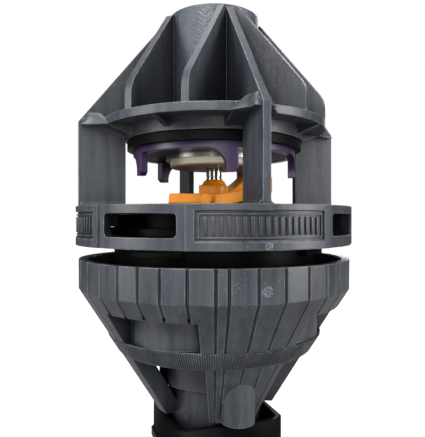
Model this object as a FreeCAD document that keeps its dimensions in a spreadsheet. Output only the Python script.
import FreeCAD, Part
import Sketcher
import math
import os

# A rotating-plate irrigation sprinkler that screws onto a drop pipe.
# Millimetres, +Z up.  The origin is the centre of the inlet's lower face.  The four cage posts
# stand on the X and Y axes, so the faces of the square core look along the diagonals.

doc = FreeCAD.newDocument("Sprinkler")
sheet = doc.addObject("Spreadsheet::Sheet", "Sizes")

# ---------------------------------------------------------------------------------------------
# Driving dimensions: alias, value, what it is
# ---------------------------------------------------------------------------------------------
TABLE = [
    # fits
    ("running_fit", 0.06, "radial play of a turning shaft in its bush"),
    ("seat_fit", 0.02, "radial play of a piece pushed into its seat"),
    ("slip_fit", 0.3, "gap between pieces that must pass each other"),
    ("cage_gap", 0.3, "gap between the seated cage and the latch collar"),
    # inlet adapter
    ("nipple_length", 17.7, "threaded inlet nipple"),
    ("nipple_radius", 13.3, "outside of the inlet thread"),
    ("waterway_radius", 9.5, "bore for the water"),
    ("adapter_half", 16.1, "half the square, flat to centre"),
    ("adapter_height", 14.0, "underside of the square part to the foot of the cone"),
    ("adapter_corner", 3.0, "bevel on the upright corners"),
    ("adapter_wall", 1.9, "wall round the open top"),
    ("adapter_pocket", 6.7, "depth of the open top"),
    ("adapter_gap", 1.8, "rim of the adapter to the foot of the cone"),
    ("adapter_base", 2.6, "height of the wider base"),
    ("adapter_step", 0.6, "how far the base stands out"),
    # seals
    ("seal_section", 1.9, "thickness of the adapter seal ring"),
    ("seal_radius", 12.0, "middle of the adapter seal ring"),
    # lower body
    ("foot_radius", 17.5, "cone at its foot"),
    ("cup_radius", 39.7, "cup over its panels"),
    ("cone_height", 35.3, "foot to knee"),
    ("cup_band", 8.25, "knee to rim"),
    ("cup_wall", 2.2, "wall of the cup"),
    ("pillar_depth", 5.6, "pillars between the lower windows, radially"),
    ("groove_depth", 0.7, "groove between two panels"),
    ("groove_half_angle", 0.75, "half the mouth of a groove, degrees"),
    ("upper_window_base", 22.3, "foot to lower edge of the upper windows"),
    ("upper_window_height", 8.2, "upper windows"),
    ("upper_window_angle", 43.0, "width of the upper windows, degrees"),
    ("notch_rise", 1.3, "notch over an upper window at each groove"),
    ("notch_half", 0.8, "half the width of such a notch at its foot"),
    ("notch_tip", 0.25, "half its width at the top"),
    ("lower_window_height", 17.3, "foot to top of the lower windows"),
    ("lower_window_angle", 46.0, "width of the lower windows, degrees"),
    ("web_thickness", 2.0, "floor between tube and cone"),
    ("spigot_radius", 13.8, "water tube, whose end stands in the adapter"),
    ("lobe_radius", 15.6, "rounded wall behind each upper window"),
    ("lobe_setback", 0.4, "cone's outside in to the rounded walls, at the windows' foot"),
    ("lobe_wall", 1.6, "thickness of the rounded walls"),
    ("chamber_height", 15.2, "web to the ledge that carries the collar"),
    ("boss_radius", 4.5, "round boss at the foot of the front and back pillars"),
    ("boss_offset", 20.7, "axis to the middle of a boss"),
    ("boss_lift", 1.3, "foot of the cone to the underside of a boss"),
    ("boss_height", 13.6, "a boss, its top buried in the pillar"),
    # nozzle and its seat
    ("seat_radius", 11.3, "bore that takes the nozzle"),
    ("seat_outer_radius", 16.5, "outside of the nozzle seat"),
    ("seat_foot", 7.7, "foot of the cone to the underside of the nozzle seat"),
    ("seat_depth", 5.0, "seat below the web's underside"),
    ("seat_rise", 9.0, "seat above the web's underside"),
    ("ear_radius", 13.3, "tips of the nozzle's locking ears"),
    ("ear_height", 1.8, "thickness of an ear"),
    ("ear_angle", 30.0, "width of an ear, degrees"),
    ("ear_cover", 2.2, "roof of the seat over an ear"),
    ("notch_angle", 38.0, "entry notch for an ear, degrees"),
    ("nozzle_neck", 8.2, "outside of the nozzle above its seat"),
    ("nozzle_tip_radius", 4.6, "outside of the nozzle at its tip"),
    ("nozzle_cone", 9.0, "height of the nozzle's cone"),
    ("orifice_radius", 2.5, "water jet"),
    ("nozzle_mouth", 8.6, "bore at the nozzle's foot"),
    ("nozzle_ring_section", 1.5, "thickness of the nozzle's seal ring"),
    # latch collar
    ("collar_radius", 29.7, "outside of the collar"),
    ("collar_wall", 2.0, "wall of the collar"),
    ("collar_flange_radius", 34.6, "flange that stands on the lower body"),
    ("collar_flange", 2.0, "thickness of the flange"),
    ("ledge_radius", 32.0, "latch ledges, outside"),
    ("ledge_drop", 6.0, "ring top to the ledges"),
    ("ledge_height", 1.9, "thickness of the ledges"),
    ("ledge_angle", 60.0, "width of a ledge, degrees"),
    ("lug_drop", 11.9, "ring top to the lower lugs"),
    ("lug_height", 1.3, "thickness of the lower lugs"),
    ("lug_angle", 27.0, "width of a lower lug, degrees"),
    # cage: squeeze ring
    ("rim_gap", 4.05, "cup rim to the underside of the ring"),
    ("ring_radius", 40.0, "outside of the squeeze ring"),
    ("ring_wall", 2.6, "wall of the squeeze ring"),
    ("ring_height", 10.7, "squeeze ring"),
    ("ring_deck", 2.0, "thickness of the deck on the ring"),
    ("deck_hole", 26.3, "radius of the hole in the deck"),
    ("slot_angle", 30.0, "width of a slot, degrees"),
    ("slot_drop", 2.1, "ring top to the slot"),
    ("slot_height", 5.8, "height of a slot"),
    ("slot_corner", 1.2, "rounding of a slot's corners"),
    ("pad_angle", 54.0, "width of a grip pad, degrees"),
    ("pad_rise", 0.5, "grip pad over the ring"),
    ("field_angle", 48.0, "width of the sunk field, degrees"),
    ("field_drop", 1.5, "ring top to the field"),
    ("field_height", 7.2, "height of the field"),
    ("field_depth", 0.6, "depth of the field"),
    ("hook_angle", 22.0, "width of a guide hook, degrees"),
    ("hook_drop", 3.6, "ring top to a guide hook"),
    ("hook_height", 2.0, "height of a guide hook"),
    # cage: posts, flange and ribbed roof
    ("post_inset", 0.5, "edge of the deck's hole out to the inner edge of a post"),
    ("post_outer", 39.8, "axis to the outer edge of a post"),
    ("post_thickness", 2.0, "posts and roof ribs"),
    ("post_fillet", 1.6, "rounding on both sides of a post where it meets the ring"),
    ("window_height", 22.4, "ring top to the flange"),
    ("flange_radius", 33.0, "roof flange"),
    ("flange_thickness", 2.2, "roof flange"),
    ("shoulder_rise", 1.2, "flange underside to the post's shoulder"),
    ("rib_inset", 1.4, "flange edge in to the upright end of a rib"),
    ("rib_end_height", 3.7, "upright end of a rib above the flange"),
    ("knee_rise", 4.8, "height of the rounded knee of a rib"),
    ("knee_inset", 1.6, "how far the knee leans in"),
    ("knee_round", 8.0, "radius of the knee"),
    ("roof_height", 30.8, "flange to the top of the ribs"),
    ("roof_top_radius", 14.0, "a post's rib at its top"),
    ("rib_top", 12.0, "core's middle to the top end of a rib, along the rib"),
    ("rib_half", 9.4, "half the spacing of a pair of ribs, over their outsides"),
    ("core_radius", 13.4, "round core"),
    ("core_rise", 0.8, "core above the ribs"),
    ("ear_half", 7.4, "half width of the flange's ear where it leaves the flange"),
    ("ear_reach", 4.5, "how far out the ear's curved sides run"),
    ("ear_round", 7.5, "radius of the ear's curved sides"),
    ("ear_neck", 2.4, "half width of the ear where its curves end"),
    ("brace_half", 5.6, "half width of the wedge under an ear"),
    ("brace_height", 2.7, "the wedge at the skirt"),
    ("ear_root", 1.5, "flange edge in to the foot of an ear"),
    ("ear_setback", 1.0, "outer edge of a post in to the end of its ear"),
    ("gusset_thickness", 1.4, "thin gusset on each diagonal"),
    ("gusset_foot", 0.6, "skirt edge up to a gusset"),
    ("gusset_inset", 0.4, "flange edge in to a gusset"),
    ("skirt_radius", 26.5, "skirt below the flange"),
    ("skirt_wall", 2.0, "wall of the skirt"),
    ("skirt_height", 3.2, "skirt below the flange"),
    # brake
    ("brake_rim_radius", 26.0, "rim of the brake housing"),
    ("brake_rim", 2.4, "thickness of the rim"),
    ("brake_tube_radius", 6.9, "outside of the brake tube"),
    ("brake_tube_wall", 1.6, "wall of the brake tube"),
    ("brake_tube_height", 31.7, "brake tube above the rim's top"),
    ("brake_cap", 2.0, "closed end of the brake tube"),
    ("housing_seal_section", 1.4, "seal round the brake housing"),
    ("housing_seal_drop", 1.96, "top of the brake housing's drum to the underside of that seal"),
    ("lid_radius", 21.7, "bearing plate"),
    ("lid_thickness", 1.6, "bearing plate"),
    ("lid_hub_height", 7.0, "hub of the bearing plate inside the tube"),
    ("claw_ring_radius", 24.2, "retaining ring"),
    ("claw_ring_drop", 1.8, "retaining ring below the rim"),
    ("claw_count", 5, "claws on the retaining ring"),
    ("claw_width", 3.0, "claw at its tip"),
    ("claw_wall", 2.0, "claw, radially"),
    ("claw_length", 8.0, "rim to the tip of a claw"),
    ("claw_sweep", 5.4, "curved side of a claw"),
    ("claw_root", 0.4, "claw into the ring that carries it"),
    ("claw_turn", -6.2, "first claw from the X axis, degrees"),
    ("dish_radius", 14.5, "steel dish"),
    ("dish_height", 1.2, "steel dish"),
    ("dish_sheet", 0.6, "thickness of its sheet"),
    ("disc_radius", 13.2, "cover disc"),
    ("disc_thickness", 2.1, "cover disc"),
    ("disc_hole_play", 0.5, "cover disc to the shaft"),
    ("bush_radius", 4.0, "outside of the bushes"),
    ("upper_bush_height", 4.0, "upper bush"),
    ("shaft_seal_height", 2.6, "lip seal on the shaft"),
    ("shaft_seal_wall", 0.8, "thickness of that seal's rubber"),
    # rotor
    ("shaft_radius", 2.35, "shaft"),
    ("shaft_bevel", 0.3, "bevel on the shaft's ends"),
    ("shaft_exposed", 3.2, "shaft between the disc and the plate"),
    ("clip_depth", 0.5, "groove that holds the clip"),
    ("clip_arc", 300.0, "how far the clip reaches round the shaft, degrees"),
    ("line_lift", 0.25, "plate's top to the dark line turned in the shaft"),
    ("line_width", 0.35, "that line's width"),
    ("line_depth", 0.25, "that line's depth"),
    ("rotor_radius", 4.8, "brake rotor"),
    ("rotor_length", 13.0, "brake rotor"),
    ("washer_radius", 4.4, "thrust washer"),
    ("washer_thickness", 0.8, "thrust washer and clip"),
    ("hub_radius", 4.3, "hub of the spray plate"),
    ("hub_height", 7.0, "spray plate, top of the hub to its underside"),
    ("hub_collar", 0.5, "small collar on the hub"),
    ("hub_dome", 1.4, "rounded shoulder of the hub, radially"),
    ("hub_web", 2.2, "web beyond the hub at its foot"),
    ("hub_web_height", 1.8, "thickness of that web"),
    ("socket_floor", 1.5, "plate's underside to the end of the shaft"),
    ("plate_turn", -107.7, "plate's middle at rest, degrees"),
    ("blade_height", 3.0, "arm of the spray plate at the hub"),
    ("blade_width", 5.0, "arm of the spray plate"),
    ("blade_wall", 1.2, "wall round an arm's channel"),
    ("low_reach", 14.4, "low arm"),
    ("high_reach", 18.4, "long rising arm"),
    ("rear_reach", 16.5, "short rising arm"),
    ("high_rise", 4.2, "how far a rising arm climbs"),
    ("arm_swing", 2.0, "how far a rising arm bends sideways at its end"),
    ("arm_spread", 1.25, "width of an arm's end over its root"),
    ("arm_growth", 1.15, "height of an arm's end over its root"),
    ("low_arm_turn", -90.0, "low arm from the plate's middle, degrees"),
    ("high_arm_turn", 52.0, "long rising arm from the plate's middle, degrees"),
    ("rear_arm_turn", 140.0, "short rising arm from the plate's middle, degrees"),
    ("pin_turn", -20.0, "round boss from the plate's middle, degrees"),
    ("boss_pin_radius", 1.8, "round boss on the plate's front"),
    ("boss_pin_reach", 6.4, "axis to the end of that boss"),
]

for row, (alias, number, note) in enumerate(TABLE, start=1):
    sheet.set("A%d" % row, note)
    sheet.set("B%d" % row, str(number))
    sheet.setAlias("B%d" % row, alias)
doc.recompute()


class Size:
    """A length that carries both its number and the sheet expression that gives it."""

    def __init__(self, number, text):
        self.number = float(number)
        self.text = text

    @staticmethod
    def of(other):
        return other if isinstance(other, Size) else Size(other, repr(float(other)))

    def join(self, other, sign, number):
        return Size(number, "(%s %s %s)" % (self.text, sign, Size.of(other).text))

    def __add__(self, other):
        return self.join(other, "+", self.number + float(other))

    def __sub__(self, other):
        return self.join(other, "-", self.number - float(other))

    def __mul__(self, other):
        return self.join(other, "*", self.number * float(other))

    def __truediv__(self, other):
        return self.join(other, "/", self.number / float(other))

    def __radd__(self, other):
        return Size.of(other) + self

    def __rsub__(self, other):
        return Size.of(other) - self

    def __rmul__(self, other):
        return Size.of(other) * self

    def __neg__(self):
        return Size.of(0) - self

    def __float__(self):
        return self.number


class Sizes:
    """Every alias of the sheet as a Size."""


S = Sizes()
for alias, number, note in TABLE:
    setattr(S, alias, Size(getattr(sheet, alias), "Sizes." + alias))

# Heights that follow from the stack of pieces
S.foot_z = S.nipple_length + S.adapter_height
S.pocket_z = S.foot_z - S.adapter_pocket
S.knee_z = S.foot_z + S.cone_height
S.rim_z = S.knee_z + S.cup_band
S.web_z = S.foot_z + S.lower_window_height
S.window_z = S.foot_z + S.upper_window_base
S.lobe_top_z = S.web_z + S.web_thickness + S.chamber_height
S.ring_z = S.rim_z + S.rim_gap
S.top_z = S.ring_z + S.ring_height
S.flange_z = S.top_z + S.window_height
S.flange_top_z = S.flange_z + S.flange_thickness
S.roof_z = S.flange_top_z + S.roof_height
S.skirt_z = S.flange_z - S.skirt_height
S.rim_top_z = S.skirt_z - S.cage_gap / 2
S.rim_low_z = S.rim_top_z - S.brake_rim
S.lid_z = S.rim_low_z - S.lid_thickness
S.dish_z = S.lid_z - S.dish_height
S.disc_z = S.dish_z - S.disc_thickness
S.hub_top_z = S.disc_z - S.shaft_exposed
S.plate_z = S.hub_top_z - S.hub_height
S.tube_top_z = S.rim_top_z + S.brake_tube_height
S.post_inner = S.deck_hole + S.post_inset
S.core_top_z = S.roof_z + S.core_rise
FULL_TURN = 360.0
POSTS = 4
# How late a rising arm of the spray plate starts to climb: 1 is a straight ramp
ARM_CURVE = 1.6
# Grooves of one quarter of the cup, in degrees from the middle of its pillar
GROOVES = (-26.5, -17.1, -12.7, -2.7, 7.3, 17.3, 27.0, 36.5, 45.5, 54.0)


# ---------------------------------------------------------------------------------------------
# Modelling helpers
# ---------------------------------------------------------------------------------------------
def bind(thing, name, size):
    """Tie one property to the sheet."""
    setattr(thing, name, float(size))
    if isinstance(size, Size):
        thing.setExpression(name, size.text)


def new_body(label):
    body = doc.addObject("PartDesign::Body", label)
    body.Label = label
    return body


def origin_part(body, role):
    return [f for f in body.Origin.OriginFeatures if f.Role == role][0]


def new_sketch(body, name, role="XZ_Plane", lift=None, turn=0.0):
    """A sketch on one of the body's own planes; lift moves it off, turn swings it about Z."""
    sketch = body.newObject("Sketcher::SketchObject", body.Label + "_" + name)
    sketch.AttachmentSupport = [(origin_part(body, role), "")]
    sketch.MapMode = "FlatFace"
    if turn:
        swing = FreeCAD.Vector(0, 0, 1) if role == "XY_Plane" else FreeCAD.Vector(0, 1, 0)
        sketch.AttachmentOffset = FreeCAD.Placement(FreeCAD.Vector(), FreeCAD.Rotation(swing, turn))
    if lift is not None:
        sketch.AttachmentOffset = FreeCAD.Placement(
            FreeCAD.Vector(0, 0, float(lift)), sketch.AttachmentOffset.Rotation)
        sketch.setExpression("AttachmentOffset.Base.z", Size.of(lift).text)
    return sketch


def pin_point(sketch, edge, end, x, y):
    """Hold one end of an edge at x, y, each tied to the sheet where it is a Size."""
    for kind, axis, size in (("DistanceX", -2, x), ("DistanceY", -1, y)):
        if float(size) == 0:
            sketch.addConstraint(Sketcher.Constraint("PointOnObject", edge, end, axis))
            continue
        number = sketch.addConstraint(Sketcher.Constraint(kind, -1, 1, edge, end, float(size)))
        if isinstance(size, Size):
            sketch.setExpression("Constraints[%d]" % number, size.text)


def polygon(sketch, corners):
    """A closed outline of straight runs through corners, each held by its own two sizes."""
    points = [FreeCAD.Vector(float(x), float(y), 0) for x, y in corners]
    first = sketch.GeometryCount
    for here, there in zip(points, points[1:] + points[:1]):
        sketch.addGeometry(Part.LineSegment(here, there), False)
    for index in range(len(points)):
        following = (index + 1) % len(points)
        sketch.addConstraint(Sketcher.Constraint("Coincident", first + index, 2, first + following, 1))
    for index, (x, y) in enumerate(corners):
        pin_point(sketch, first + index, 1, x, y)


def circle(sketch, radius, x=0.0, y=0.0):
    edge = sketch.addGeometry(Part.Circle(FreeCAD.Vector(float(x), float(y), 0),
                                          FreeCAD.Vector(0, 0, 1), float(radius)), False)
    pin_point(sketch, edge, 3, x, y)
    number = sketch.addConstraint(Sketcher.Constraint("Radius", edge, float(radius)))
    if isinstance(radius, Size):
        sketch.setExpression("Constraints[%d]" % number, radius.text)


def spin(body, sketch, angle=FULL_TURN, cut=False):
    """Turn a profile about Z, as added or as removed material; part turns lie either side."""
    kind = "PartDesign::Groove" if cut else "PartDesign::Revolution"
    feature = body.newObject(kind, sketch.Name + ("_cut" if cut else "_turn"))
    feature.Profile = sketch
    feature.ReferenceAxis = (sketch, ["V_Axis"])
    bind(feature, "Angle", angle)
    if float(angle) < FULL_TURN:
        feature.Midplane = True
    sketch.Visibility = False
    return feature


def raise_pad(body, sketch, length, midplane=False, down=False):
    feature = body.newObject("PartDesign::Pad", sketch.Name + "_pad")
    feature.Profile = sketch
    bind(feature, "Length", length)
    feature.Midplane = midplane
    feature.Reversed = down
    return feature


def pocket(body, sketch, length, midplane=False, up=False):
    feature = body.newObject("PartDesign::Pocket", sketch.Name + "_pocket")
    feature.Profile = sketch
    bind(feature, "Length", length)
    feature.Midplane = midplane
    feature.Reversed = up
    return feature


def around(body, feature, count=POSTS):
    """Repeat one feature round Z."""
    pattern = body.newObject("PartDesign::PolarPattern", feature.Name + "_round")
    pattern.Originals = [feature]
    pattern.Axis = (origin_part(body, "Z_Axis"), [""])
    pattern.Angle = FULL_TURN
    pattern.Occurrences = int(float(count))
    if isinstance(count, Size):
        pattern.setExpression("Occurrences", count.text)
    body.Tip = pattern
    return pattern


def turned(label, corners, angle=FULL_TURN):
    """A whole piece turned from one profile of (radius, height) corners."""
    body = new_body(label)
    sketch = new_sketch(body, "profile")
    polygon(sketch, corners)
    spin(body, sketch, angle)
    return body


def polar_point(radius, degrees, z=0.0):
    angle = math.radians(degrees)
    return FreeCAD.Vector(radius * math.cos(angle), radius * math.sin(angle), z)


def outline(sketch, corners):
    """A closed outline; a corner given as (x, y, radius) starts an arc to the next corner.

    A positive radius turns left on the way, a negative one turns right.
    """
    first = sketch.GeometryCount
    for index, corner in enumerate(corners):
        here = FreeCAD.Vector(float(corner[0]), float(corner[1]), 0)
        following = corners[(index + 1) % len(corners)]
        there = FreeCAD.Vector(float(following[0]), float(following[1]), 0)
        if len(corner) == 2:
            sketch.addGeometry(Part.LineSegment(here, there), False)
            continue
        radius = float(corner[2])
        run = there - here
        side = FreeCAD.Vector(-run.y, run.x, 0).normalize()
        reach = math.sqrt(max(radius * radius - run.Length * run.Length / 4, 0.0))
        centre = (here + there) * 0.5 + side * math.copysign(reach, radius)
        begin, end = (here, there) if radius > 0 else (there, here)
        start_angle = math.atan2(begin.y - centre.y, begin.x - centre.x)
        end_angle = math.atan2(end.y - centre.y, end.x - centre.x)
        bow = Part.Circle(centre, FreeCAD.Vector(0, 0, 1), abs(radius))
        sketch.addGeometry(Part.ArcOfCircle(bow, start_angle, end_angle), False)

    def starts(index):
        corner = corners[index]
        return 1 if len(corner) == 2 or float(corner[2]) > 0 else 2

    for index, corner in enumerate(corners):
        following = (index + 1) % len(corners)
        sketch.addConstraint(Sketcher.Constraint(
            "Coincident", first + index, 3 - starts(index), first + following, starts(following)))
        pin_point(sketch, first + index, starts(index), corner[0], corner[1])
        if len(corner) == 3:
            size = corner[2] if float(corner[2]) > 0 else -corner[2]
            number = sketch.addConstraint(Sketcher.Constraint("Radius", first + index, float(size)))
            if isinstance(size, Size):
                sketch.setExpression("Constraints[%d]" % number, size.text)


def rounded_box(half_width, low, high, corner):
    """Corners of an upright rectangle about the Z axis with rounded corners."""
    side = half_width - corner
    return [(-side, low), (side, low, corner), (half_width, low + corner),
            (half_width, high - corner, corner), (side, high), (-side, high, corner),
            (-half_width, high - corner), (-half_width, low + corner, corner)]


def cone_radius(z):
    """Outside of the cup's cone at a height."""
    slope = (S.cup_radius - S.foot_radius) / S.cone_height
    return S.foot_radius + (z - S.foot_z) * slope


# ---------------------------------------------------------------------------------------------
# Inlet adapter and seals
# ---------------------------------------------------------------------------------------------
def square_corners(half, bevel):
    inner = half - bevel
    return [(half, -inner), (half, inner), (inner, half), (-inner, half),
            (-half, inner), (-half, -inner), (-inner, -half), (inner, -half)]


def make_inlet_adapter():
    body = new_body("inlet_adapter")
    block = new_sketch(body, "square", "XY_Plane", lift=S.nipple_length)
    polygon(block, square_corners(S.adapter_half, S.adapter_corner))
    raise_pad(body, block, S.adapter_height - S.adapter_gap)
    base = new_sketch(body, "base", "XY_Plane", lift=S.nipple_length)
    polygon(base, square_corners(S.adapter_half + S.adapter_step, S.adapter_corner))
    raise_pad(body, base, S.adapter_base)
    nipple = new_sketch(body, "nipple", "XY_Plane")
    circle(nipple, S.nipple_radius)
    raise_pad(body, nipple, S.nipple_length)
    bore = new_sketch(body, "bore", "XY_Plane")
    circle(bore, S.waterway_radius)
    pocket(body, bore, S.foot_z, up=True)
    well = new_sketch(body, "well", "XY_Plane", lift=S.pocket_z)
    polygon(well, square_corners(S.adapter_half - S.adapter_wall, S.adapter_corner / 2))
    pocket(body, well, S.adapter_pocket, up=True)
    seal = new_sketch(body, "seal_groove")
    near = S.seal_radius - S.seal_section / 2
    far = S.seal_radius + S.seal_section / 2
    floor = S.pocket_z - S.seal_section
    polygon(seal, [(near, floor), (far, floor), (far, S.pocket_z + 1), (near, S.pocket_z + 1)])
    spin(body, seal, cut=True)
    return body


def make_seal_ring(label, middle, section, z):
    """A seal ring of square section, its middle at radius middle and height z."""
    half = section / 2
    return turned(label, [(middle - half, z - half), (middle + half, z - half),
                          (middle + half, z + half), (middle - half, z + half)])


# ---------------------------------------------------------------------------------------------
# Lower body: a cup of shingled panels on a cone
# ---------------------------------------------------------------------------------------------
def cup_ring(z, grooved):
    """Corners of one cross section of the cup: panels, with a V groove between each two."""
    radius = min(float(cone_radius(z)), float(S.cup_radius))
    depth = float(S.groove_depth) * radius / float(S.cup_radius)
    half = float(S.groove_half_angle)
    corners = []
    for quarter in range(POSTS):
        for groove in GROOVES:
            angle = quarter * FULL_TURN / POSTS + groove
            corners.append(polar_point(radius, angle - half, z))
            if grooved:
                corners.append(polar_point(radius - depth, angle, z))
            corners.append(polar_point(radius, angle + half, z))
    return corners


def flat_face(corners):
    return Part.Face(Part.makePolygon(corners + corners[:1]))


def make_panelled_blank():
    """The solid cup before it is hollowed.  Its grooves stop at a plain band in the middle."""
    storeys = ((S.foot_z, S.web_z, True), (S.web_z, S.window_z, False),
               (S.window_z, S.knee_z, True), (S.knee_z, S.rim_z, True))
    faces = [flat_face(cup_ring(S.foot_z, True)), flat_face(cup_ring(S.rim_z, True))]
    for low, high, grooved in storeys:
        below = cup_ring(low, grooved)
        above = cup_ring(high, grooved)
        for corner in range(len(below)):
            faces.append(flat_face([below[corner - 1], below[corner], above[corner],
                                    above[corner - 1]]))
    for z in (S.web_z, S.window_z):
        groove_ends = cup_ring(z, True)
        for first in range(0, len(groove_ends), 3):
            faces.append(flat_face(groove_ends[first:first + 3]))
    shell = Part.makeShell(faces)
    shell.sewShape()
    blank = doc.addObject("Part::Feature", "panelled_blank")
    blank.Shape = Part.makeSolid(shell)
    return blank


def make_lower_body():
    body = new_body("lower_body")
    body.BaseFeature = make_panelled_blank()
    wall = S.cup_wall
    above = S.web_z + S.web_thickness
    beyond = S.cup_radius + 5
    lobe_offset = cone_radius(S.window_z) - S.lobe_setback - S.lobe_radius

    hollow = new_sketch(body, "cup_inside")
    ledge = S.lobe_top_z
    polygon(hollow, [(0, ledge), (cone_radius(ledge) - wall, ledge), (S.cup_radius - wall, S.knee_z),
                     (S.cup_radius - wall, S.rim_z + 1), (0, S.rim_z + 1)])
    spin(body, hollow, cut=True)
    skirt = new_sketch(body, "cone_inside")
    pillar = S.foot_radius - S.pillar_depth
    polygon(skirt, [(0, S.foot_z - 1), (pillar, S.foot_z - 1), (pillar, S.foot_z),
                    (cone_radius(S.web_z) - S.pillar_depth, S.web_z), (0, S.web_z)])
    spin(body, skirt, cut=True)

    low = S.window_z
    high = low + S.upper_window_height
    upper = new_sketch(body, "upper_window", turn=45)
    polygon(upper, [(lobe_offset, low), (beyond, low), (beyond, high), (lobe_offset, high)])
    around(body, spin(body, upper, S.upper_window_angle, cut=True))
    notches = new_sketch(body, "notches", turn=135)
    for groove in GROOVES:
        across = math.sin(math.radians(groove % (FULL_TURN / POSTS) - 45))
        if abs(across) > math.sin(math.radians(float(S.upper_window_angle) / 2)):
            continue
        middle = cone_radius(high) * across
        polygon(notches, [(middle - S.notch_half, high - 1), (middle + S.notch_half, high - 1),
                          (middle + S.notch_tip, high + S.notch_rise),
                          (middle - S.notch_tip, high + S.notch_rise)])
    around(body, pocket(body, notches, beyond, up=True))
    lower = new_sketch(body, "lower_window", turn=45)
    polygon(lower, [(2, S.foot_z - 1), (beyond, S.foot_z - 1), (beyond, S.web_z), (2, S.web_z)])
    around(body, spin(body, lower, S.lower_window_angle, cut=True))

    lobe = new_sketch(body, "lobe", "XY_Plane", lift=low, turn=45)
    circle(lobe, S.lobe_radius, lobe_offset)
    around(body, raise_pad(body, lobe, ledge - low))
    chamber = new_sketch(body, "lobe_inside", "XY_Plane", lift=above, turn=45)
    circle(chamber, S.lobe_radius - S.lobe_wall, lobe_offset)
    around(body, pocket(body, chamber, S.chamber_height, up=True))
    middle = new_sketch(body, "chamber_middle", "XY_Plane", lift=above)
    circle(middle, S.seat_outer_radius)
    pocket(body, middle, S.chamber_height, up=True)

    seat_z = S.web_z - S.seat_depth
    seat_top = S.web_z + S.seat_rise
    tube = new_sketch(body, "tube")
    seat_foot = S.foot_z + S.seat_foot
    polygon(tube, [(S.waterway_radius, S.pocket_z), (S.spigot_radius, S.pocket_z),
                   (S.spigot_radius, seat_foot), (S.seat_outer_radius, seat_foot),
                   (S.seat_outer_radius, seat_top), (S.seat_radius, seat_top),
                   (S.seat_radius, seat_z), (S.waterway_radius, seat_z)])
    spin(body, tube)

    bore = new_sketch(body, "seat_bore", "XY_Plane", lift=seat_z)
    circle(bore, S.seat_radius)
    pocket(body, bore, S.seat_depth + S.seat_rise, up=True)
    ear_low = seat_top - S.ear_cover - S.ear_height - S.slip_fit
    track = new_sketch(body, "ear_track")
    tip = S.ear_radius + S.slip_fit
    polygon(track, [(S.waterway_radius, ear_low), (tip, ear_low), (tip, seat_top - S.ear_cover),
                    (S.waterway_radius, seat_top - S.ear_cover)])
    spin(body, track, cut=True)
    notch = new_sketch(body, "ear_notch", turn=90)
    polygon(notch, [(S.waterway_radius, ear_low), (tip, ear_low), (tip, seat_top + 1),
                    (S.waterway_radius, seat_top + 1)])
    around(body, spin(body, notch, S.notch_angle, cut=True), 2)

    boss = new_sketch(body, "boss", "XY_Plane", lift=S.foot_z + S.boss_lift, turn=90)
    circle(boss, S.boss_radius, S.boss_offset)
    around(body, raise_pad(body, boss, S.boss_height), 2)
    return body


# ---------------------------------------------------------------------------------------------
# Nozzle
# ---------------------------------------------------------------------------------------------
def make_nozzle():
    foot = S.web_z - S.seat_depth + S.slip_fit
    seat_top = S.web_z + S.seat_rise
    outside = S.seat_radius - S.running_fit
    groove = S.nozzle_ring_section
    tip = seat_top + S.nozzle_cone
    roof = S.nozzle_ring_section
    body = turned("nozzle", [
        (S.nozzle_mouth, foot), (outside, foot), (outside, foot + groove),
        (outside - groove, foot + groove), (outside - groove, foot + groove * 2),
        (outside, foot + groove * 2), (outside, seat_top), (S.nozzle_neck, seat_top),
        (S.nozzle_tip_radius, tip), (S.orifice_radius, tip), (S.orifice_radius, seat_top - roof),
        (S.nozzle_mouth, seat_top - roof)])
    ear = new_sketch(body, "ear")
    top = seat_top - S.ear_cover - S.slip_fit / 2
    polygon(ear, [(outside - 1, top - S.ear_height), (S.ear_radius, top - S.ear_height),
                  (S.ear_radius, top), (outside - 1, top)])
    around(body, spin(body, ear, S.ear_angle), 2)
    return body


# ---------------------------------------------------------------------------------------------
# Latch collar
# ---------------------------------------------------------------------------------------------
def make_latch_collar():
    inside = S.collar_radius - S.collar_wall
    top = S.top_z - S.ring_deck - S.cage_gap
    flange = S.lobe_top_z + S.collar_flange
    body = turned("latch_collar", [
        (inside, S.lobe_top_z), (S.collar_flange_radius, S.lobe_top_z),
        (S.collar_flange_radius, flange), (S.collar_radius, flange), (S.collar_radius, top),
        (inside, top)])
    rows = (("ledge", S.ledge_drop, S.ledge_height, S.ledge_angle),
            ("lug", S.lug_drop, S.lug_height, S.lug_angle))
    for name, drop, height, angle in rows:
        sketch = new_sketch(body, name, turn=45)
        high = S.top_z - drop
        polygon(sketch, [(S.collar_radius - 1, high - height), (S.ledge_radius, high - height),
                         (S.ledge_radius, high), (S.collar_radius - 1, high)])
        around(body, spin(body, sketch, angle))
    return body


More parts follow.
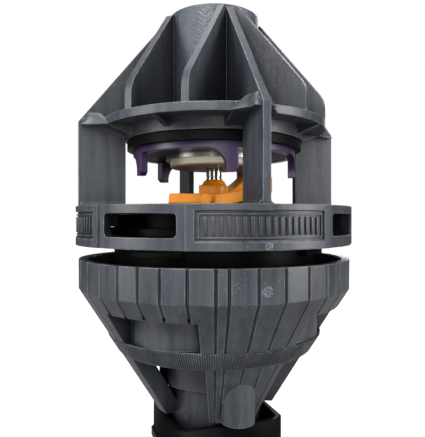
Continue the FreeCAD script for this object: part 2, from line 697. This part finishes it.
# ---------------------------------------------------------------------------------------------
# Cage: squeeze ring, four posts and a ribbed roof in one moulding
# ---------------------------------------------------------------------------------------------
def make_cage_frame():
    body = new_body("cage_frame")
    low, top = S.ring_z, S.top_z
    under_deck = top - S.ring_deck
    inner = S.ring_radius - S.ring_wall
    far = S.ring_radius + 5

    # roof: flange, four pairs of parallel ribs with rounded knees, and the round core
    flange = new_sketch(body, "flange", "XY_Plane", lift=S.flange_z)
    circle(flange, S.flange_radius)
    raise_pad(body, flange, S.flange_thickness)
    rib_end = S.flange_radius - S.rib_inset
    bend = S.flange_top_z + S.rib_end_height
    rib = new_sketch(body, "rib_pair", turn=45)
    outline(rib, [(0, S.flange_z), (rib_end, S.flange_z), (rib_end, bend, S.knee_round),
                  (rib_end - S.knee_inset, bend + S.knee_rise), (S.rib_top, S.roof_z),
                  (0, S.roof_z)])
    around(body, raise_pad(body, rib, S.rib_half * 2, midplane=True))
    bay = new_sketch(body, "rib_bay", turn=45)
    polygon(bay, [(0, S.flange_top_z), (far, S.flange_top_z), (far, S.roof_z + 1),
                  (0, S.roof_z + 1)])
    around(body, pocket(body, bay, (S.rib_half - S.post_thickness) * 2, midplane=True))
    core = new_sketch(body, "core", "XY_Plane", lift=S.flange_z)
    circle(core, S.core_radius)
    raise_pad(body, core, S.core_top_z - S.flange_z)

    # squeeze ring with its deck, grip pads and their sunk fields
    ring = new_sketch(body, "ring")
    polygon(ring, [(inner, low), (S.ring_radius, low), (S.ring_radius, top), (S.deck_hole, top),
                   (S.deck_hole, under_deck), (inner, under_deck)])
    spin(body, ring)
    pad = new_sketch(body, "grip_pad")
    pad_radius = S.ring_radius + S.pad_rise
    polygon(pad, [(S.ring_radius - 1, low), (pad_radius, low), (pad_radius, top),
                  (S.ring_radius - 1, top)])
    around(body, spin(body, pad, S.pad_angle))
    field = new_sketch(body, "grip_field")
    field_top = top - S.field_drop
    field_low = field_top - S.field_height
    polygon(field, [(pad_radius - S.field_depth, field_low), (far, field_low), (far, field_top),
                    (pad_radius - S.field_depth, field_top)])
    around(body, spin(body, field, S.field_angle, cut=True))
    hook = new_sketch(body, "guide_hook")
    hook_near = S.collar_radius + S.cage_gap
    polygon(hook, [(hook_near, top - S.hook_drop - S.hook_height),
                   (inner + 1, top - S.hook_drop - S.hook_height),
                   (inner + 1, under_deck + 1), (hook_near, under_deck + 1)])
    around(body, spin(body, hook, S.hook_angle))

    # posts, each one blade with its roof rib
    shoulder = S.flange_z + S.shoulder_rise
    post = new_sketch(body, "post")
    heart = S.core_radius - 1
    polygon(post, [(S.post_inner, under_deck), (S.post_outer, under_deck), (S.post_outer, shoulder),
                   (S.roof_top_radius, S.roof_z), (heart, S.roof_z), (heart, S.flange_z),
                   (S.post_inner, S.flange_z)])
    around(body, raise_pad(body, post, S.post_thickness, midplane=True))
    fillet = S.post_fillet
    foot = new_sketch(body, "post_foot", "YZ_Plane", lift=S.post_inner + S.post_inset)
    half_post = S.post_thickness / 2
    outline(foot, [(-half_post - fillet, top - 1), (half_post + fillet, top - 1),
                   (half_post + fillet, top, -fillet), (half_post, top + fillet),
                   (-half_post, top + fillet, -fillet), (-half_post - fillet, top)])
    around(body, raise_pad(body, foot, S.post_outer - S.post_inner - S.post_inset * 2))

    # flange ears that run out to each post, braces under them and thin gussets between
    ear = new_sketch(body, "ear", "XY_Plane", lift=S.flange_z)
    blade = S.post_thickness / 2
    root = S.flange_radius - S.ear_root
    ear_bend = root + S.ear_reach
    ear_end = S.post_outer - S.ear_setback
    outline(ear, [(root, -S.ear_half, -S.ear_round), (ear_bend, -S.ear_neck),
                  (ear_end, -blade), (ear_end, blade), (ear_bend, S.ear_neck, -S.ear_round),
                  (root, S.ear_half)])
    around(body, raise_pad(body, ear, S.flange_thickness))
    skirt_mid = S.skirt_radius - S.skirt_wall / 2
    brace = new_sketch(body, "brace")
    gusset_tip = S.flange_radius - S.gusset_inset
    polygon(brace, [(skirt_mid, S.flange_z - S.brace_height), (gusset_tip, S.flange_z),
                    (gusset_tip, S.flange_z + 1), (skirt_mid, S.flange_z + 1)])
    around(body, raise_pad(body, brace, S.brace_half * 2, midplane=True))
    skirt = new_sketch(body, "skirt")
    skirt_inner = S.skirt_radius - S.skirt_wall
    polygon(skirt, [(skirt_inner, S.skirt_z), (S.skirt_radius, S.skirt_z),
                    (S.skirt_radius, S.flange_z + 1), (skirt_inner, S.flange_z + 1)])
    spin(body, skirt)
    clear = new_sketch(body, "skirt_inside", "XY_Plane", lift=S.skirt_z)
    circle(clear, skirt_inner)
    pocket(body, clear, S.skirt_height, up=True)
    gusset = new_sketch(body, "gusset", turn=45)
    polygon(gusset, [(skirt_mid, S.skirt_z + S.gusset_foot), (gusset_tip, S.flange_z),
                     (gusset_tip, S.flange_z + 1), (skirt_mid, S.flange_z + 1)])
    around(body, raise_pad(body, gusset, S.gusset_thickness, midplane=True))
    bore = new_sketch(body, "brake_bore", "XY_Plane", lift=S.flange_z - 1)
    circle(bore, S.brake_tube_radius + S.seat_fit)
    pocket(body, bore, S.tube_top_z - S.flange_z + 1 + S.cage_gap, up=True)

    # slots through the ring on the diagonals
    slot = new_sketch(body, "slot", turn=135)
    half_slot = S.ring_radius * math.sin(math.radians(float(S.slot_angle) / 2))
    slot_top = top - S.slot_drop
    outline(slot, rounded_box(half_slot, slot_top - S.slot_height, slot_top, S.slot_corner))
    around(body, pocket(body, slot, far, up=True))
    return body


# ---------------------------------------------------------------------------------------------
# Brake: sealed housing in the core, bearing plate, claw ring, dish and disc
# ---------------------------------------------------------------------------------------------
def make_brake_housing():
    drum = S.skirt_radius - S.skirt_wall - S.seat_fit
    drum_top = S.flange_z - S.cage_gap / 2
    inside = S.brake_tube_radius - S.brake_tube_wall
    seal_low = drum_top - S.housing_seal_drop
    return turned("brake_housing", [
        (0, S.tube_top_z), (S.brake_tube_radius, S.tube_top_z), (S.brake_tube_radius, drum_top),
        (drum, drum_top), (drum, seal_low + S.housing_seal_section),
        (drum - S.housing_seal_section, seal_low + S.housing_seal_section),
        (drum - S.housing_seal_section, seal_low), (drum, seal_low),
        (drum, S.rim_top_z), (S.brake_rim_radius, S.rim_top_z), (S.brake_rim_radius, S.rim_low_z),
        (inside, S.rim_low_z), (inside, S.tube_top_z - S.brake_cap), (0, S.tube_top_z - S.brake_cap)])


def make_bearing_plate():
    hub = S.brake_tube_radius - S.brake_tube_wall - S.seat_fit
    hub_top = S.rim_low_z + S.lid_hub_height
    return turned("bearing_plate", [
        (S.bush_radius + S.seat_fit, S.lid_z), (S.lid_radius, S.lid_z), (S.lid_radius, S.rim_low_z),
        (hub, S.rim_low_z), (hub, hub_top), (S.bush_radius + S.seat_fit, hub_top)])


def make_claw_ring():
    """A snap ring with claws: each has one straight side and one curved sweep into the ring."""
    body = new_body("retaining_ring")
    low = S.rim_low_z - S.claw_ring_drop
    inner = S.lid_radius + S.seat_fit
    ring = new_sketch(body, "ring")
    polygon(ring, [(inner, low), (S.claw_ring_radius, low), (S.claw_ring_radius, S.rim_low_z),
                   (inner, S.rim_low_z)])
    spin(body, ring)
    claw = new_sketch(body, "claw", turn=float(S.claw_turn))
    half = S.claw_width / 2
    tip = S.rim_low_z - S.claw_length
    sweep = S.claw_sweep
    bevel = S.claw_width / 3
    root = low + S.claw_root
    outline(claw, [(-half, tip), (half - bevel, tip), (half, tip + bevel), (half, root),
                   (-half - sweep, root), (-half - sweep, low, -sweep), (-half, low - sweep)])
    around(body, raise_pad(body, claw, S.claw_ring_radius + 2), S.claw_count)
    for name, near, far in (("claw_inside", 0, S.claw_ring_radius - S.claw_wall),
                            ("claw_outside", S.claw_ring_radius, S.claw_ring_radius + 6)):
        trim = new_sketch(body, name)
        high = low if name == "claw_inside" else S.rim_low_z
        polygon(trim, [(near, tip - 1), (far, tip - 1), (far, high), (near, high)])
        spin(body, trim, cut=True)
    clear = new_sketch(body, "ring_inside", "XY_Plane", lift=low - 1)
    circle(clear, inner)
    pocket(body, clear, S.claw_ring_drop + 1, up=True)
    return body


def make_steel_dish():
    sheet_metal = S.dish_sheet
    hole = S.bush_radius + S.slip_fit
    return turned("steel_dish", [
        (hole, S.lid_z - sheet_metal), (S.dish_radius - sheet_metal, S.lid_z - sheet_metal),
        (S.dish_radius - sheet_metal, S.dish_z), (S.dish_radius, S.dish_z), (S.dish_radius, S.lid_z),
        (hole, S.lid_z)])


def make_cover_disc():
    """The pale disc: a flat rim, with a raised middle that sits inside the dish."""
    hole = S.shaft_radius + S.disc_hole_play
    inner = S.dish_radius - S.dish_sheet - S.seat_fit
    bevel = S.disc_thickness / 5
    return turned("cover_disc", [
        (hole, S.disc_z), (S.disc_radius - bevel, S.disc_z), (S.disc_radius, S.disc_z + bevel),
        (S.disc_radius, S.dish_z), (inner, S.dish_z), (inner, S.lid_z - S.dish_sheet),
        (hole, S.lid_z - S.dish_sheet)])


def make_bush(label, low, high, outside):
    inside = S.shaft_radius + S.running_fit
    return turned(label, [(inside, low), (outside, low), (outside, high), (inside, high)])


def make_shaft_seal(low):
    """A lip seal: a channel section whose lip leans on the shaft."""
    inside = S.shaft_radius + S.running_fit
    high = low + S.shaft_seal_height
    wall = S.shaft_seal_wall
    return turned("shaft_seal", [
        (inside, low), (S.bush_radius, low), (S.bush_radius, high),
        (S.bush_radius - wall, high), (S.bush_radius - wall, low + wall),
        (inside, low + wall)])


# ---------------------------------------------------------------------------------------------
# Rotor: shaft, brake rotor, washer, clip and spray plate
# ---------------------------------------------------------------------------------------------
def make_shaft(low, high, clip_z):
    """Polished shaft with a clip groove near its top and a witness line above the plate."""
    deep = S.shaft_radius - S.clip_depth
    line = S.hub_top_z + S.line_lift
    line_top = line + S.line_width
    line_radius = S.shaft_radius - S.line_depth
    edge = S.shaft_bevel
    return turned("shaft", [
        (0, low), (S.shaft_radius - edge, low), (S.shaft_radius, low + edge),
        (S.shaft_radius, line), (line_radius, line),
        (line_radius, line_top), (S.shaft_radius, line_top),
        (S.shaft_radius, clip_z), (deep, clip_z), (deep, clip_z + S.washer_thickness),
        (S.shaft_radius, clip_z + S.washer_thickness), (S.shaft_radius, high - edge),
        (S.shaft_radius - edge, high), (0, high)])


def make_brake_rotor(low):
    """The drum that turns in the brake's grease."""
    high = low + S.rotor_length
    return turned("brake_rotor", [
        (S.shaft_radius, low), (S.rotor_radius, low), (S.rotor_radius, high),
        (S.shaft_radius, high)])


def blade_section(x, width, low, high, nose):
    """An upright cross section of an arm at distance x, with bevelled upper edges."""
    half = width / 2
    points = [(-half, low), (half, low), (half, high - nose), (half - nose, high),
              (nose - half, high), (-half, high - nose)]
    return Part.makePolygon([FreeCAD.Vector(x, y, z) for y, z in points + points[:1]])


def make_arm(turn, reach, rise, swing):
    """One arm of the spray plate: a lofted bar with a channel below that throws the stream."""
    turn, reach, rise, swing = float(turn), float(reach), float(rise), float(swing)
    wider, taller = float(S.arm_spread) - 1, float(S.arm_growth) - 1
    width, height = float(S.blade_width), float(S.blade_height)
    wall = float(S.blade_wall)
    stations = 5
    outer, channel = [], []
    for index in range(stations):
        share = index / (stations - 1)
        climb = rise * share ** ARM_CURVE
        x = reach * share
        spread = width * (1 + wider * share)
        tall = height * (1 + taller * share)
        shift = FreeCAD.Matrix()
        shift.move(FreeCAD.Vector(0, swing * share * share, 0))
        shell = blade_section(x, spread, climb, climb + tall, wall / 2)
        inside = blade_section(x, spread - 2 * wall, climb - 1, climb + tall - wall, wall / 2)
        outer.append(shell.transformGeometry(shift))
        channel.append(inside.transformGeometry(shift))
    arm = Part.makeLoft(outer, True, True)
    arm = arm.cut(Part.makeLoft(channel, True, True))
    arm.rotate(FreeCAD.Vector(), FreeCAD.Vector(0, 0, 1), turn)
    return arm


def make_spray_plate():
    hub_r, hub_h = float(S.hub_radius), float(S.hub_height)
    bore = float(S.shaft_radius)
    collar = float(S.hub_collar)
    dome = float(S.hub_dome)
    shoulder = hub_h - collar
    profile = Part.makePolygon([FreeCAD.Vector(r, 0, z) for r, z in (
        (0, 0), (hub_r, 0), (hub_r, shoulder - dome), (hub_r - dome, shoulder),
        (hub_r - dome, hub_h), (0, hub_h), (0, 0))])
    plate = Part.Face(profile).revolve(FreeCAD.Vector(), FreeCAD.Vector(0, 0, 1), FULL_TURN)
    web = Part.makeCylinder(hub_r + float(S.hub_web), float(S.hub_web_height))
    pin = Part.makeCylinder(float(S.boss_pin_radius), float(S.boss_pin_reach), FreeCAD.Vector(
        0, 0, float(S.blade_height) / 2), FreeCAD.Vector(1, 0, 0))
    pin.rotate(FreeCAD.Vector(), FreeCAD.Vector(0, 0, 1), float(S.plate_turn + S.pin_turn))
    arms = [make_arm(S.plate_turn + S.low_arm_turn, S.low_reach, 0, 0),
            make_arm(S.plate_turn + S.high_arm_turn, S.high_reach, S.high_rise, S.arm_swing),
            make_arm(S.plate_turn + S.rear_arm_turn, S.rear_reach, S.high_rise, S.arm_swing)]
    plate = plate.fuse([web, pin] + arms)
    socket = Part.makeCylinder(bore, hub_h, FreeCAD.Vector(0, 0, float(S.socket_floor)))
    plate = plate.cut(socket).removeSplitter()
    piece = doc.addObject("Part::Feature", "spray_plate")
    piece.Label = "spray_plate"
    piece.Shape = plate
    piece.Placement = FreeCAD.Placement(FreeCAD.Vector(0, 0, float(S.plate_z)), FreeCAD.Rotation())
    piece.setExpression("Placement.Base.z", S.plate_z.text)
    return piece


# ---------------------------------------------------------------------------------------------
# Assembly
# ---------------------------------------------------------------------------------------------
make_inlet_adapter()
make_seal_ring("adapter_seal", S.seal_radius, S.seal_section, S.pocket_z - S.seal_section / 2)
make_lower_body()
make_nozzle()
make_seal_ring("nozzle_seal", S.seat_radius - S.running_fit - S.nozzle_ring_section / 2,
               S.nozzle_ring_section,
               S.web_z - S.seat_depth + S.slip_fit + S.nozzle_ring_section * 3 / 2)
make_latch_collar()
make_cage_frame()
make_brake_housing()
make_seal_ring("housing_seal",
               S.skirt_radius - S.skirt_wall - S.seat_fit - S.housing_seal_section / 2,
               S.housing_seal_section,
               S.flange_z - S.cage_gap / 2 - S.housing_seal_drop + S.housing_seal_section / 2)
make_bearing_plate()
make_claw_ring()
make_steel_dish()
make_cover_disc()
seal_z = S.rim_low_z + S.lid_hub_height - S.shaft_seal_height
make_bush("lower_bush", S.lid_z, seal_z, S.bush_radius)
make_shaft_seal(seal_z)
tube_inside = S.brake_tube_radius - S.brake_tube_wall
bush_top = S.tube_top_z - S.brake_cap
make_bush("upper_bush", bush_top - S.upper_bush_height, bush_top, tube_inside - S.seat_fit)
washer_z = S.rim_low_z + S.lid_hub_height + S.slip_fit
rotor_z = washer_z + S.washer_thickness
clip_z = rotor_z + S.rotor_length
make_bush("thrust_washer", washer_z, rotor_z, S.washer_radius)
make_brake_rotor(rotor_z)
make_shaft(S.plate_z + S.socket_floor, bush_top - S.slip_fit, clip_z)
clip_top = clip_z + S.washer_thickness
clip_inside = S.shaft_radius - S.clip_depth
turned("shaft_clip", [(clip_inside, clip_z), (S.washer_radius, clip_z),
                      (S.washer_radius, clip_top), (clip_inside, clip_top)], S.clip_arc)
make_spray_plate()
doc.recompute()

NODES = ["inlet_adapter", "adapter_seal", "lower_body", "nozzle", "nozzle_seal", "latch_collar",
         "cage_frame", "brake_housing", "housing_seal", "bearing_plate", "retaining_ring",
         "steel_dish", "cover_disc", "lower_bush", "shaft_seal", "upper_bush", "thrust_washer",
         "brake_rotor", "shaft", "shaft_clip", "spray_plate"]


def check_and_export():
    for thing in doc.Objects:
        if "Invalid" in thing.State or "Error" in thing.State:
            raise RuntimeError("%s failed to recompute: %s" % (thing.Name, thing.State))
    os.makedirs("parts", exist_ok=True)
    for label in NODES:
        piece = doc.getObjectsByLabel(label)[0]
        shape = piece.Shape
        if shape.isNull() or not shape.isValid() or len(shape.Solids) != 1:
            raise RuntimeError("%s is not one valid solid" % label)
        shape.exportStep("parts/" + label + ".step")
        print("%-15s solids %d  volume %9.1f" % (label, len(shape.Solids), shape.Volume))


check_and_export()
